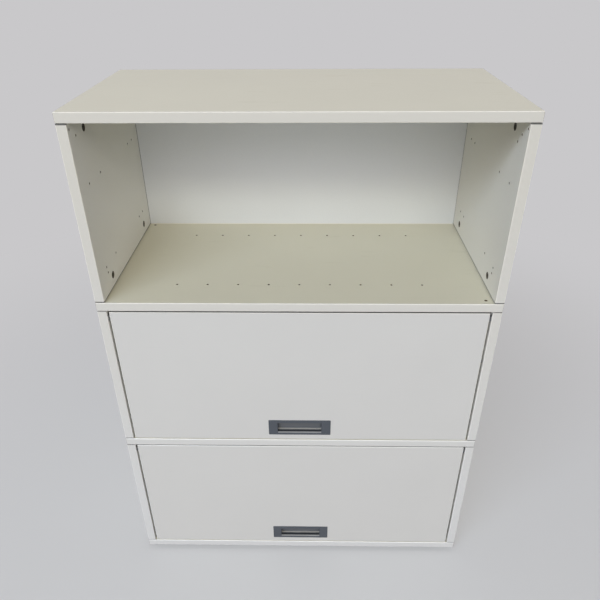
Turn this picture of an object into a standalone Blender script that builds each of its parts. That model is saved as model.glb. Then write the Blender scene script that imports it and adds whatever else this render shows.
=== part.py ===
"""Office storage cabinet with one open compartment above two that are closed by lift-up flaps.

Four full-width boards are stacked with pairs of side panels and a back panel between them. Each flap
turns on two pins at its top corners. The pins sit in carriages that run back in rails let into the
side panels, so that a raised flap slides in under the board above it.

Metres, +Z up. The front faces -Y, the floor is z = 0 and the origin is under the middle of the cabinet.
"""

import math

import bmesh
import bpy
from mathutils import Matrix, Vector

# Carcass
CABINET_WIDTH = 0.810
CABINET_DEPTH = 0.394
BOARD_THICKNESS = 0.019
COMPARTMENT_HEIGHT = 0.352
EDGE_RADIUS = 0.0015
EDGE_SEGMENTS = 3
BACK_THICKNESS = 0.008
REBATE_WIDTH = 0.010
SEAT_GAP = 0.0003
CUT_OVERRUN = 0.002

# Levels, counted from the floor
BOARD_NAMES = ("bottom_board", "lower_shelf", "upper_shelf", "top_board")
LEVEL_NAMES = ("bottom", "middle", "top")
FLAP_LEVELS = (0, 1)
OPEN_LEVEL = 2
SIDES = (("left", -1), ("right", 1))

# Drillings in the boards, for dividers and fittings
DIVIDER_PITCH = 0.064
DIVIDER_COUNT = 9
DIVIDER_ROW_INSET = 0.076
DIVIDER_HOLE_RADIUS = 0.0025
DIVIDER_HOLE_DEPTH = 0.010
CORNER_HOLE_RADIUS = 0.0033
CORNER_HOLE_DEPTH = 0.012
CORNER_HOLE_SIDE_INSET = 0.0135
CORNER_HOLE_END_INSET = 0.0145

# Drillings in the side panels, for runners and fittings
RUNNER_PITCH = 0.032
RUNNER_STEPS = (0, 2, 8, 9)
RUNNER_LINE = 0.0485
RUNNER_HEIGHTS = (0.0555, 0.2305)
RUNNER_HOLE_RADIUS = 0.0025
RUNNER_HOLE_DEPTH = 0.011
CATCH_HOLE_HEIGHT = 0.042
CATCH_HOLE_INSET = 0.051
FITTING_STEPS = ((0.0080, 0.0120), (0.0320, 0.0280))
RIGHT_FITTING_STEP = (0.0465, 0.0440)
HOLE_SIDES = 10

# Cam connectors that tie the side panels to the boards
CAM_RADIUS = 0.0075
CAM_LENGTH = 0.0125
CAM_SINK = 0.0012
CAM_END_DISTANCE = 0.0245
CAM_FRONT_INSET = 0.073
CAM_REAR_INSET = 0.063
CAM_SLOT_LENGTH = 0.0094
CAM_SLOT_WIDTH = 0.0016
CAM_SLOT_DEPTH = 0.0030
CAM_SIDES = 20

# Levelling glides
GLIDE_HEIGHT = 0.010
GLIDE_RADIUS = 0.016
GLIDE_FOOT_THICKNESS = 0.004
GLIDE_COLLAR_RADIUS = 0.008
GLIDE_CHAMFER = 0.001
GLIDE_STEM_RADIUS = 0.004
GLIDE_STEM_LENGTH = 0.014
GLIDE_INSET = 0.045
GLIDE_SIDES = 24
SOCKET_RADIUS = 0.0065
SOCKET_LENGTH = 0.015
STEM_CLEARANCE = 0.0003

# Flaps
FLAP_THICKNESS = 0.019
FLAP_SETBACK = 0.001
FLAP_SIDE_GAP = 0.004
FLAP_TOP_GAP = 0.003
FLAP_BOTTOM_GAP = 0.002
PIVOT_DEPTH = 0.010
PIVOT_DROP = 0.015
PIN_RADIUS = 0.0025
PIN_REACH = 0.012
PIN_SIDES = 16
STUD_DISTANCE = 0.110
STUD_OVERHANG = 0.0033
STUD_SHANK_RADIUS = 0.0025
STUD_SHANK_LENGTH = 0.010
STUD_CHAMFER = 0.0006

# Rails and carriages
RAIL_HEIGHT = 0.018
RAIL_DEPTH = 0.009
RAIL_WALL = 0.0015
RAIL_SLOT = 0.010
RAIL_LEDGE = 0.003
RAIL_START = 0.004
SLIDE_CLEARANCE = 0.00025
SWING_CLEARANCE = 0.001
SHOE_NOSE = 0.0055
ARM_LENGTH = 0.026
ARM_WIDTH = 0.011
ARM_RISE = 0.008
LUG_HEIGHT = 0.0045
CROSS_BAR_HEIGHT = 0.016
CROSS_BAR_WALL = 0.0015
CROSS_BAR_INSET = 0.002

# Flush grip, a moulded tub with a flange
GRIP_WIDTH = 0.141
GRIP_HEIGHT = 0.044
GRIP_RISE = 0.0145
GRIP_FLANGE = 0.0010
GRIP_CORNER_RADIUS = 0.0015
GRIP_FACE_BEVEL = 0.0004
GRIP_WALL = 0.0016
RECESS_WIDTH = 0.100
RECESS_HEIGHT = 0.024
RECESS_OFFSET = 0.0010
RECESS_DEPTH = 0.0125
RECESS_CORNER = 0.0015
HOOK_DROP = 0.0040
HOOK_LIP = 0.0025
LEDGE_DEPTH = 0.0045
LEDGE_RISE = 0.0045

# Places worked out from the sizes
FRONT = -CABINET_DEPTH / 2
REAR = CABINET_DEPTH / 2
BACK_FACE = REAR - BACK_THICKNESS
INNER_HALF = CABINET_WIDTH / 2 - BOARD_THICKNESS
LEVEL_PITCH = COMPARTMENT_HEIGHT + BOARD_THICKNESS
PIVOT_Y = FRONT + FLAP_SETBACK + PIVOT_DEPTH
FLAP_HALF_WIDTH = INNER_HALF - FLAP_SIDE_GAP
FLAP_HEIGHT = COMPARTMENT_HEIGHT - FLAP_TOP_GAP - FLAP_BOTTOM_GAP
FLAP_BEHIND_PIVOT = FLAP_THICKNESS - PIVOT_DEPTH
SWING_RADIUS = math.hypot(max(PIVOT_DEPTH, FLAP_BEHIND_PIVOT), PIVOT_DROP)
ARM_FRONT = SWING_RADIUS + SWING_CLEARANCE
ARM_REAR = ARM_FRONT + ARM_LENGTH
NECK_REACH = RAIL_LEDGE + SLIDE_CLEARANCE
TUB_DEPTH = RECESS_DEPTH + GRIP_WALL


def floor_of(level):
    """Height of the compartment's floor, the top of the board under it."""
    return GLIDE_HEIGHT + BOARD_THICKNESS + level * LEVEL_PITCH


def ceiling_of(level):
    """Height of the underside of the board over the compartment."""
    return floor_of(level) + COMPARTMENT_HEIGHT


def pivot_height(level):
    """Height of the axis that the level's flap turns on."""
    return ceiling_of(level) - FLAP_TOP_GAP - PIVOT_DROP


def clear_scene():
    """Remove every object that the scene starts with."""
    for thing in list(bpy.data.objects):
        bpy.data.objects.remove(thing, do_unlink=True)


def linear(channel):
    """Linear value of one sRGB channel given from 0 to 255."""
    share = channel / 255
    if share <= 0.04045:
        return share / 12.92
    return ((share + 0.055) / 1.055) ** 2.4


def material(name, colour, roughness, metallic=0.0):
    """Principled material with an sRGB colour."""
    made = bpy.data.materials.get(name)
    if made is None:
        made = bpy.data.materials.new(name)
        made.use_nodes = True
        shader = made.node_tree.nodes["Principled BSDF"]
        shader.inputs["Base Color"].default_value = (*(linear(value) for value in colour), 1.0)
        shader.inputs["Roughness"].default_value = roughness
        shader.inputs["Metallic"].default_value = metallic
    return made


def melamine():
    """Pearl-white melamine on chipboard."""
    return material("pearl melamine", (222, 219, 208), 0.45)


def grip_plastic():
    """Moulded blue-grey plastic."""
    return material("grey moulded plastic", (92, 96, 104), 0.5)


def rail_aluminium():
    """Anodised aluminium section."""
    return material("anodised aluminium", (176, 178, 180), 0.35, 1.0)


def carriage_plastic():
    """Grey acetal that slides in the rails."""
    return material("grey acetal", (112, 114, 116), 0.4)


def steel():
    """Zinc-plated steel."""
    return material("zinc-plated steel", (168, 168, 165), 0.3, 1.0)


def cam_metal():
    """Dull die-cast zinc."""
    return material("die-cast zinc", (120, 114, 104), 0.5, 1.0)


def glide_plastic():
    """Black polyamide glide."""
    return material("black polyamide", (30, 30, 31), 0.6)


def object_from(name, shape, finish=None, location=(0, 0, 0), parent=None):
    """Turn a bmesh into a named object, with its faces pointing out."""
    bmesh.ops.recalc_face_normals(shape, faces=shape.faces[:])
    mesh = bpy.data.meshes.new(name)
    shape.to_mesh(mesh)
    shape.free()
    made = bpy.data.objects.new(name, mesh)
    bpy.context.scene.collection.objects.link(made)
    made.location = location
    made.parent = parent
    if finish is not None:
        mesh.materials.append(finish)
    return made


def empty(name, location, parent=None):
    """Empty that carries the pieces of one moving body."""
    made = bpy.data.objects.new(name, None)
    bpy.context.scene.collection.objects.link(made)
    made.location = location
    made.parent = parent
    return made


def add_box(shape, low, high):
    """Add a box between two corners to a bmesh."""
    low = Vector(low)
    high = Vector(high)
    size = Vector(abs(value) for value in high - low)
    place = Matrix.Translation((low + high) / 2) @ Matrix.Diagonal((*size, 1.0))
    bmesh.ops.create_cube(shape, size=1.0, matrix=place)


def add_cylinder(shape, start, end, radius, sides):
    """Add a closed cylinder between two points to a bmesh."""
    start = Vector(start)
    run = Vector(end) - start
    turn = run.to_track_quat("Z", "Y").to_matrix().to_4x4()
    place = Matrix.Translation(start + run / 2) @ turn
    bmesh.ops.create_cone(
        shape,
        cap_ends=True,
        segments=sides,
        radius1=radius,
        radius2=radius,
        depth=run.length,
        matrix=place,
    )


def add_prism(shape, outline, offset):
    """Add an outline, a list of points in one plane, extruded by an offset vector."""
    face = shape.faces.new([shape.verts.new(point) for point in outline])
    grown = bmesh.ops.extrude_face_region(shape, geom=[face], use_keep_orig=True)
    moved = [item for item in grown["geom"] if isinstance(item, bmesh.types.BMVert)]
    bmesh.ops.translate(shape, verts=moved, vec=Vector(offset))


def add_turned(shape, profile, sides, hollow=False):
    """Add a body turned about Z from (radius, height) points.

    A solid profile is closed by flat ends, and a hollow one runs round a ring's section.
    """
    rings = []
    for radius, height in profile:
        ring = []
        for step in range(sides):
            angle = math.tau * step / sides
            ring.append(shape.verts.new((radius * math.cos(angle), radius * math.sin(angle), height)))
        rings.append(ring)
    following = rings[1:] + rings[:1] if hollow else rings[1:]
    for ring, after in zip(rings, following):
        for step in range(sides):
            beyond = (step + 1) % sides
            shape.faces.new((ring[step], ring[beyond], after[beyond], after[step]))
    if not hollow:
        shape.faces.new(rings[0])
        shape.faces.new(rings[-1])


def smooth(piece):
    """Shade a round piece smooth, with sharp edges where it turns a corner."""
    piece.data.shade_smooth()
    piece.data.set_sharp_from_angle(angle=math.radians(40))


def bevelled(piece, radius, segments, limit="NONE"):
    """Round the edges of a piece."""
    bevel = piece.modifiers.new("edges", "BEVEL")
    bevel.width = radius
    bevel.segments = segments
    bevel.limit_method = limit


def combine(piece, tool_shape, operation):
    """Cut a bmesh out of a piece, or join it on, in the piece's own coordinates."""
    tool = object_from(f"{piece.name}.tool", tool_shape, parent=piece)
    tool.hide_render = True
    tool.display_type = "WIRE"
    boolean = piece.modifiers.new("shape", "BOOLEAN")
    boolean.operation = operation
    boolean.solver = "EXACT"
    boolean.object = tool
    return tool


def drill(piece, holes, sides=HOLE_SIDES):
    """Drill blind holes given as (mouth, direction, radius, depth)."""
    tool = bmesh.new()
    for mouth, direction, radius, depth in holes:
        mouth = Vector(mouth)
        direction = Vector(direction)
        add_cylinder(tool, mouth - direction * CUT_OVERRUN, mouth + direction * depth, radius, sides)
    combine(piece, tool, "DIFFERENCE")


def rounded_panel(name, size, location, parent=None):
    """Melamine panel with rounded edges, centred on its location."""
    shape = bmesh.new()
    half = Vector(size) / 2
    add_box(shape, -half, half)
    piece = object_from(name, shape, melamine(), location, parent)
    bevelled(piece, EDGE_RADIUS, EDGE_SEGMENTS)
    return piece


def divider_holes(top):
    """Two rows of divider holes in the top face of a board, in the board's own coordinates."""
    holes = []
    for row in (FRONT + DIVIDER_ROW_INSET, REAR - DIVIDER_ROW_INSET):
        for index in range(DIVIDER_COUNT):
            x = (index - (DIVIDER_COUNT - 1) / 2) * DIVIDER_PITCH
            holes.append(((x, row, top), (0, 0, -1), DIVIDER_HOLE_RADIUS, DIVIDER_HOLE_DEPTH))
    return holes


def corner_holes(top):
    """Two fitting holes, at the front right and the rear left of a shelf."""
    x = INNER_HALF - CORNER_HOLE_SIDE_INSET
    right = (x, FRONT + CORNER_HOLE_END_INSET, top)
    left = (-x, BACK_FACE - CORNER_HOLE_END_INSET + BACK_THICKNESS, top)
    return [(mouth, (0, 0, -1), CORNER_HOLE_RADIUS, CORNER_HOLE_DEPTH) for mouth in (right, left)]


def glide_places():
    """Name and place of each levelling glide."""
    x = CABINET_WIDTH / 2 - GLIDE_INSET
    y = CABINET_DEPTH / 2 - GLIDE_INSET
    return [
        (f"{end}_{side}", sign * x, way * y)
        for end, way in (("front", -1), ("rear", 1))
        for side, sign in SIDES
    ]


def build_boards():
    """The four full-width boards."""
    for level, name in enumerate(BOARD_NAMES):
        centre = GLIDE_HEIGHT + level * LEVEL_PITCH + BOARD_THICKNESS / 2
        board = rounded_panel(name, (CABINET_WIDTH, CABINET_DEPTH, BOARD_THICKNESS), (0, 0, centre))
        top = BOARD_THICKNESS / 2
        holes = []
        if name != "top_board":
            holes += divider_holes(top)
        if name in ("lower_shelf", "upper_shelf"):
            holes += corner_holes(top)
        if holes:
            drill(board, holes)
        if name == "bottom_board":
            depth = SOCKET_LENGTH + SEAT_GAP
            radius = SOCKET_RADIUS + SEAT_GAP
            drill(board, [((x, y, -top), (0, 0, 1), radius, depth) for _, x, y in glide_places()], PIN_SIDES)


def cam_places(level):
    """Name, y and height of the cam connectors in each side panel of a level."""
    ends = [("lower", floor_of(level) + CAM_END_DISTANCE)]
    if level == OPEN_LEVEL:
        ends.append(("upper", ceiling_of(level) - CAM_END_DISTANCE))
    rows = (("front", FRONT + CAM_FRONT_INSET), ("rear", REAR - CAM_REAR_INSET))
    return [(f"{row}_{end}", y, z) for row, y in rows for end, z in ends]


def runner_holes(level, face, outward):
    """System drillings on the inner face of a side panel, as (mouth, direction, radius, depth)."""
    places = []
    for height in RUNNER_HEIGHTS:
        for step in RUNNER_STEPS:
            places.append((FRONT + RUNNER_LINE + step * RUNNER_PITCH, floor_of(level) + height))
    places.append((FRONT + CATCH_HOLE_INSET, floor_of(level) + CATCH_HOLE_HEIGHT))
    if level == OPEN_LEVEL:
        steps = FITTING_STEPS if outward < 0 else (*FITTING_STEPS, RIGHT_FITTING_STEP)
        places += [(FRONT + inset, ceiling_of(level) - drop) for inset, drop in steps]
    direction = (outward, 0, 0)
    return [((face, y, z), direction, RUNNER_HOLE_RADIUS, RUNNER_HOLE_DEPTH) for y, z in places]


def build_side_panel(level, side, outward):
    """Side panel of one level, with its rebate, drillings and, behind a flap, its rail groove."""
    centre = Vector((
        outward * (CABINET_WIDTH - BOARD_THICKNESS) / 2,
        0,
        floor_of(level) + COMPARTMENT_HEIGHT / 2,
    ))
    height = COMPARTMENT_HEIGHT - 2 * SEAT_GAP
    size = (BOARD_THICKNESS, CABINET_DEPTH, height)
    panel = rounded_panel(f"{LEVEL_NAMES[level]}_side_{side}", size, centre)

    face = outward * INNER_HALF
    mouth = face - outward * CUT_OVERRUN
    cuts = bmesh.new()
    low = Vector((mouth, BACK_FACE - SEAT_GAP, floor_of(level) - CUT_OVERRUN)) - centre
    high = Vector((face + outward * REBATE_WIDTH, REAR + CUT_OVERRUN, ceiling_of(level) + CUT_OVERRUN)) - centre
    add_box(cuts, low, high)
    combine(panel, cuts, "DIFFERENCE")

    if level in FLAP_LEVELS:
        half = RAIL_HEIGHT / 2 + SEAT_GAP
        groove = bmesh.new()
        low = Vector((mouth, FRONT + RAIL_START, pivot_height(level) - half)) - centre
        end = face + outward * (RAIL_DEPTH + SEAT_GAP)
        high = Vector((end, BACK_FACE + CUT_OVERRUN, pivot_height(level) + half)) - centre
        add_box(groove, low, high)
        combine(panel, groove, "DIFFERENCE")

    holes = [(Vector(spot) - centre, way, radius, depth) for spot, way, radius, depth in runner_holes(level, face, outward)]
    drill(panel, holes)
    depth = CAM_SINK + CAM_LENGTH + SEAT_GAP
    radius = CAM_RADIUS + SEAT_GAP
    seats = [(Vector((face, y, z)) - centre, (outward, 0, 0), radius, depth) for _, y, z in cam_places(level)]
    drill(panel, seats, CAM_SIDES)


def build_cams(level, side, outward):
    """Cam connectors sunk in the inner face of one side panel, each with a crossed slot."""
    for place, y, z in cam_places(level):
        shape = bmesh.new()
        start = outward * CAM_SINK
        add_cylinder(shape, (start, 0, 0), (start + outward * CAM_LENGTH, 0, 0), CAM_RADIUS, CAM_SIDES)
        name = f"{LEVEL_NAMES[level]}_cam_{side}_{place}"
        cam = object_from(name, shape, cam_metal(), (outward * INNER_HALF, y, z))
        long = CAM_SLOT_LENGTH / 2
        wide = CAM_SLOT_WIDTH / 2
        for half_y, half_z in ((long, wide), (wide, long)):
            slot = bmesh.new()
            floor = start + outward * CAM_SLOT_DEPTH
            add_box(slot, (start - outward * CUT_OVERRUN, -half_y, -half_z), (floor, half_y, half_z))
            combine(cam, slot, "DIFFERENCE")
        smooth(cam)


def build_back(level):
    """Back panel of one level, seated in the rebates of its side panels."""
    size = (
        2 * (INNER_HALF + REBATE_WIDTH - SEAT_GAP),
        BACK_THICKNESS,
        COMPARTMENT_HEIGHT - 2 * SEAT_GAP,
    )
    shape = bmesh.new()
    half = Vector(size) / 2
    add_box(shape, -half, half)
    place = (0, REAR - BACK_THICKNESS / 2, floor_of(level) + COMPARTMENT_HEIGHT / 2)
    object_from(f"{LEVEL_NAMES[level]}_back", shape, melamine(), place)


def build_glides():
    """Levelling glides that screw into sockets in the bottom board."""
    rest = GLIDE_HEIGHT - SEAT_GAP
    stem_top = GLIDE_HEIGHT + GLIDE_STEM_LENGTH
    glide_profile = (
        (GLIDE_RADIUS - GLIDE_CHAMFER, 0),
        (GLIDE_RADIUS, GLIDE_CHAMFER),
        (GLIDE_RADIUS, GLIDE_FOOT_THICKNESS),
        (GLIDE_COLLAR_RADIUS, (GLIDE_FOOT_THICKNESS + rest) / 2),
        (GLIDE_COLLAR_RADIUS, rest),
        (GLIDE_STEM_RADIUS, rest),
        (GLIDE_STEM_RADIUS, stem_top - GLIDE_CHAMFER),
        (GLIDE_STEM_RADIUS - GLIDE_CHAMFER, stem_top),
    )
    bore = GLIDE_STEM_RADIUS + STEM_CLEARANCE
    socket_profile = (
        (bore, GLIDE_HEIGHT),
        (SOCKET_RADIUS, GLIDE_HEIGHT),
        (SOCKET_RADIUS, GLIDE_HEIGHT + SOCKET_LENGTH),
        (bore, GLIDE_HEIGHT + SOCKET_LENGTH),
    )
    for place, x, y in glide_places():
        glide = bmesh.new()
        add_turned(glide, glide_profile, GLIDE_SIDES)
        smooth(object_from(f"glide_{place}", glide, glide_plastic(), (x, y, 0)))
        socket = bmesh.new()
        add_turned(socket, socket_profile, PIN_SIDES, hollow=True)
        smooth(object_from(f"glide_socket_{place}", socket, steel(), (x, y, 0)))


def build_rail(level, side, outward):
    """C-section rail let into a side panel. Its lower lip reaches out as a ledge for the flap's stud."""
    slot = RAIL_SLOT / 2
    top = RAIL_HEIGHT / 2
    inside = top - RAIL_WALL
    floor = RAIL_DEPTH - RAIL_WALL
    section = (
        (0, slot),
        (0, top),
        (RAIL_DEPTH, top),
        (RAIL_DEPTH, -top),
        (0, -top),
        (0, -slot - RAIL_WALL),
        (-RAIL_LEDGE, -slot - RAIL_WALL),
        (-RAIL_LEDGE, -slot),
        (RAIL_WALL, -slot),
        (RAIL_WALL, -inside),
        (floor, -inside),
        (floor, inside),
        (RAIL_WALL, inside),
        (RAIL_WALL, slot),
    )
    start = FRONT + RAIL_START + SEAT_GAP
    run = BACK_FACE - SEAT_GAP - start
    shape = bmesh.new()
    add_prism(shape, [(outward * reach, 0, z) for reach, z in section], (0, run, 0))
    place = (outward * INNER_HALF, start, pivot_height(level))
    object_from(f"{LEVEL_NAMES[level]}_rail_{side}", shape, rail_aluminium(), place)


def build_carriage(level, side, outward, body):
    """Carriage: a shoe in the rail, an arm behind the flap and a lug that stops the closed flap.

    Modelled about the flap's axis, where the pin passes through the shoe.
    """
    head_start = RAIL_WALL + SLIDE_CLEARANCE
    head_end = RAIL_DEPTH - RAIL_WALL - SLIDE_CLEARANCE
    head = RAIL_HEIGHT / 2 - RAIL_WALL - SLIDE_CLEARANCE
    neck = RAIL_SLOT / 2 - SLIDE_CLEARANCE
    face = outward * INNER_HALF
    section = (
        (-NECK_REACH, -neck),
        (head_start, -neck),
        (head_start, -head),
        (head_end, -head),
        (head_end, head),
        (head_start, head),
        (head_start, neck),
        (-NECK_REACH, neck),
    )
    shoe = bmesh.new()
    outline = [(face + outward * reach, -SHOE_NOSE, z) for reach, z in section]
    add_prism(shoe, outline, (0, SHOE_NOSE + ARM_REAR, 0))
    carriage = object_from(f"{LEVEL_NAMES[level]}_carriage_{side}", shoe, carriage_plastic(), parent=body)

    lug_front = FLAP_BEHIND_PIVOT + SEAT_GAP
    lug_top = -FLAP_BEHIND_PIVOT - SWING_CLEARANCE / 2
    lug_bottom = lug_top - LUG_HEIGHT
    arm_outline = (
        (lug_front, lug_top),
        (ARM_FRONT, lug_top),
        (ARM_FRONT, ARM_RISE),
        (ARM_REAR, ARM_RISE),
        (ARM_REAR, lug_bottom),
        (lug_front, lug_bottom),
    )
    arm = bmesh.new()
    start = face - outward * (NECK_REACH + ARM_WIDTH)
    add_prism(arm, [(start, y, z) for y, z in arm_outline], (outward * (ARM_WIDTH + SLIDE_CLEARANCE / 2), 0, 0))
    combine(carriage, arm, "UNION")
    bore = bmesh.new()
    radius = PIN_RADIUS + SEAT_GAP
    through = outward * (RAIL_DEPTH + CUT_OVERRUN)
    add_cylinder(bore, (face - through, 0, 0), (face + through, 0, 0), radius, PIN_SIDES)
    combine(carriage, bore, "DIFFERENCE")

    pin = bmesh.new()
    inner = face - outward * (FLAP_SIDE_GAP + PIN_REACH)
    add_cylinder(pin, (inner, 0, 0), (face + outward * head_end, 0, 0), PIN_RADIUS, PIN_SIDES)
    smooth(object_from(f"{LEVEL_NAMES[level]}_pivot_pin_{side}", pin, steel(), parent=body))


def build_cross_bar(level, body):
    """Folded channel that ties the two carriages together, open to the rear."""
    half = INNER_HALF - NECK_REACH - ARM_WIDTH - SEAT_GAP
    front = ARM_FRONT + CROSS_BAR_INSET
    rear = ARM_REAR - CROSS_BAR_INSET
    top = ARM_RISE
    bottom = top - CROSS_BAR_HEIGHT
    wall = CROSS_BAR_WALL
    section = (
        (rear, top),
        (front, top),
        (front, bottom),
        (rear, bottom),
        (rear, bottom + wall),
        (front + wall, bottom + wall),
        (front + wall, top - wall),
        (rear, top - wall),
    )
    shape = bmesh.new()
    add_prism(shape, [(-half, y, z) for y, z in section], (2 * half, 0, 0))
    object_from(f"{LEVEL_NAMES[level]}_cross_bar", shape, steel(), parent=body)


def grip_middle():
    """Height of the middle of the grip, from the flap's axis."""
    return PIVOT_DROP - FLAP_HEIGHT + GRIP_RISE + GRIP_HEIGHT / 2


def tub_limits():
    """Lowest and highest z of the grip's tub, from the grip's middle."""
    low = RECESS_OFFSET - RECESS_HEIGHT / 2 - HOOK_DROP - GRIP_WALL
    high = RECESS_OFFSET + RECESS_HEIGHT / 2 + GRIP_WALL
    return low, high


def build_flap_panel(level, body):
    """Flap panel, with a pocket for the grip and bores for the pins and studs in its ends."""
    size = (2 * FLAP_HALF_WIDTH, FLAP_THICKNESS, FLAP_HEIGHT)
    centre = Vector((0, FLAP_THICKNESS / 2 - PIVOT_DEPTH, PIVOT_DROP - FLAP_HEIGHT / 2))
    panel = rounded_panel(f"{LEVEL_NAMES[level]}_flap", size, centre, body)

    low, high = tub_limits()
    half = RECESS_WIDTH / 2 + GRIP_WALL + SEAT_GAP
    pocket = bmesh.new()
    pocket_low = Vector((-half, -PIVOT_DEPTH - CUT_OVERRUN, grip_middle() + low - SEAT_GAP)) - centre
    pocket_high = Vector((half, TUB_DEPTH - PIVOT_DEPTH + SEAT_GAP, grip_middle() + high + SEAT_GAP)) - centre
    add_box(pocket, pocket_low, pocket_high)
    combine(panel, pocket, "DIFFERENCE")

    holes = []
    for _, outward in SIDES:
        end = outward * FLAP_HALF_WIDTH
        inward = (-outward, 0, 0)
        pin_seat = Vector((end, 0, 0)) - centre
        stud_seat = Vector((end, 0, -STUD_DISTANCE)) - centre
        holes.append((pin_seat, inward, PIN_RADIUS + SEAT_GAP, PIN_REACH + SEAT_GAP))
        holes.append((stud_seat, inward, STUD_SHANK_RADIUS + SEAT_GAP, STUD_SHANK_LENGTH + SEAT_GAP))
    drill(panel, holes, PIN_SIDES)


def build_support_stud(level, side, outward, body):
    """Stud in the flap's end, which runs on the rail's ledge when the raised flap is pushed in."""
    radius = RAIL_SLOT / 2 - SLIDE_CLEARANCE
    profile = (
        (STUD_SHANK_RADIUS, -STUD_SHANK_LENGTH),
        (STUD_SHANK_RADIUS, SEAT_GAP),
        (radius, SEAT_GAP),
        (radius, STUD_OVERHANG - STUD_CHAMFER),
        (radius - STUD_CHAMFER, STUD_OVERHANG),
    )
    shape = bmesh.new()
    add_turned(shape, profile, PIN_SIDES)
    turn = Vector((outward, 0, 0)).to_track_quat("Z", "Y").to_matrix()
    bmesh.ops.rotate(shape, verts=shape.verts[:], matrix=turn)
    place = (outward * FLAP_HALF_WIDTH, 0, -STUD_DISTANCE)
    smooth(object_from(f"{LEVEL_NAMES[level]}_support_stud_{side}", shape, carriage_plastic(), place, body))


def build_grip(level, body):
    """Flush grip: a flange on the flap's face and a tub behind it, hollowed with a hooked lip."""
    flange = bmesh.new()
    half_width = GRIP_WIDTH / 2
    half_height = GRIP_HEIGHT / 2
    add_box(flange, (-half_width, -GRIP_FLANGE, -half_height), (half_width, -SEAT_GAP, half_height))
    upright = [edge for edge in flange.edges if abs(edge.verts[0].co.y - edge.verts[1].co.y) > SEAT_GAP]
    bmesh.ops.bevel(flange, geom=upright, offset=GRIP_CORNER_RADIUS, segments=4, profile=0.5, affect="EDGES")
    front = [edge for edge in flange.edges if all(vert.co.y < -GRIP_FLANGE + SEAT_GAP / 2 for vert in edge.verts)]
    bmesh.ops.bevel(flange, geom=front, offset=GRIP_FACE_BEVEL, segments=2, profile=0.5, affect="EDGES")
    place = (0, -PIVOT_DEPTH, grip_middle())
    grip = object_from(f"{LEVEL_NAMES[level]}_grip", flange, grip_plastic(), place, body)

    low, high = tub_limits()
    half_tub = RECESS_WIDTH / 2 + GRIP_WALL
    tub = bmesh.new()
    add_box(tub, (-half_tub, -GRIP_FLANGE / 2, low), (half_tub, TUB_DEPTH, high))
    combine(grip, tub, "UNION")

    top = RECESS_OFFSET + RECESS_HEIGHT / 2
    bottom = RECESS_OFFSET - RECESS_HEIGHT / 2
    groove_rear = RECESS_DEPTH - LEDGE_DEPTH
    mouth = -GRIP_FLANGE - CUT_OVERRUN
    section = (
        (mouth, top),
        (RECESS_DEPTH, top),
        (RECESS_DEPTH, bottom + LEDGE_RISE),
        (groove_rear, bottom + LEDGE_RISE),
        (groove_rear, bottom - HOOK_DROP),
        (HOOK_LIP, bottom - HOOK_DROP),
        (HOOK_LIP, bottom),
        (mouth, bottom),
    )
    hollow = bmesh.new()
    half_recess = RECESS_WIDTH / 2
    add_prism(hollow, [(-half_recess, y, z) for y, z in section], (2 * half_recess, 0, 0))
    tool = combine(grip, hollow, "DIFFERENCE")
    bevelled(tool, RECESS_CORNER, 2)


def build_flap(level):
    """One flap with its rails and carriages, and empties on its slide and its axis."""
    name = LEVEL_NAMES[level]
    carriage_body = empty(f"{name}_slide", (0, PIVOT_Y, pivot_height(level)))
    flap_body = empty(f"{name}_hinge", (0, 0, 0), carriage_body)
    for side, outward in SIDES:
        build_rail(level, side, outward)
        build_carriage(level, side, outward, carriage_body)
        build_support_stud(level, side, outward, flap_body)
    build_cross_bar(level, carriage_body)
    build_flap_panel(level, flap_body)
    build_grip(level, flap_body)


def main():
    """Build the whole cabinet."""
    clear_scene()
    build_boards()
    for level in range(len(LEVEL_NAMES)):
        for side, outward in SIDES:
            build_side_panel(level, side, outward)
            build_cams(level, side, outward)
        build_back(level)
    build_glides()
    for level in FLAP_LEVELS:
        build_flap(level)


main()
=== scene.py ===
"""Looks of an office storage cabinet: pearl melamine boards, two receding flaps and flush grips.

Laid out as an add-on and run as a script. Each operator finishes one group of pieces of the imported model.
"""

import math

import bpy
import numpy as np
from bpy.props import FloatProperty, FloatVectorProperty, IntProperty, PointerProperty
from mathutils import Euler, Matrix, Vector


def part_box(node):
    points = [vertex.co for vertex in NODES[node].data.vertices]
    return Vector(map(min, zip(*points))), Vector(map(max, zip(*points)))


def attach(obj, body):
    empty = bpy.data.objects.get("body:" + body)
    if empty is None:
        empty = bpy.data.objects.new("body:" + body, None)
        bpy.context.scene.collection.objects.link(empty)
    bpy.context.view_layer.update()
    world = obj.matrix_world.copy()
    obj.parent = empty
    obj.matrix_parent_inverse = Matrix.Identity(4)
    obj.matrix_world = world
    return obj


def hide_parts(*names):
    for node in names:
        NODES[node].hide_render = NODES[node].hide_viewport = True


bl_info = {
    "name": "Office storage cabinet looks",
    "version": (1, 0, 0),
    "blender": (4, 5, 0),
    "location": "3D View > Sidebar > Cabinet",
    "description": "Finishes and fine pieces of a cabinet with two receding flaps",
    "category": "Object",
}

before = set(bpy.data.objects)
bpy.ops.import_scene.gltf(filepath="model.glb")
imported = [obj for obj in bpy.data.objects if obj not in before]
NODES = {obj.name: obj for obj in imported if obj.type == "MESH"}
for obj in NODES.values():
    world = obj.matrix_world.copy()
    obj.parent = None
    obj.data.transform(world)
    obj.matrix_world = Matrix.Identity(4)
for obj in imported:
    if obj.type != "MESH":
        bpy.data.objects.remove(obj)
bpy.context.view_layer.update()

LEVELS = ("bottom", "middle", "top")
FLAP_LEVELS = ("bottom", "middle")
SIDES = ("left", "right")
BOARDS = ("bottom_board", "lower_shelf", "upper_shelf", "top_board")
SHARP_ANGLE = math.radians(38)
LIGHT_DISTANCE = 9.0
DARK = (0.0, 0.0, 0.0)


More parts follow.
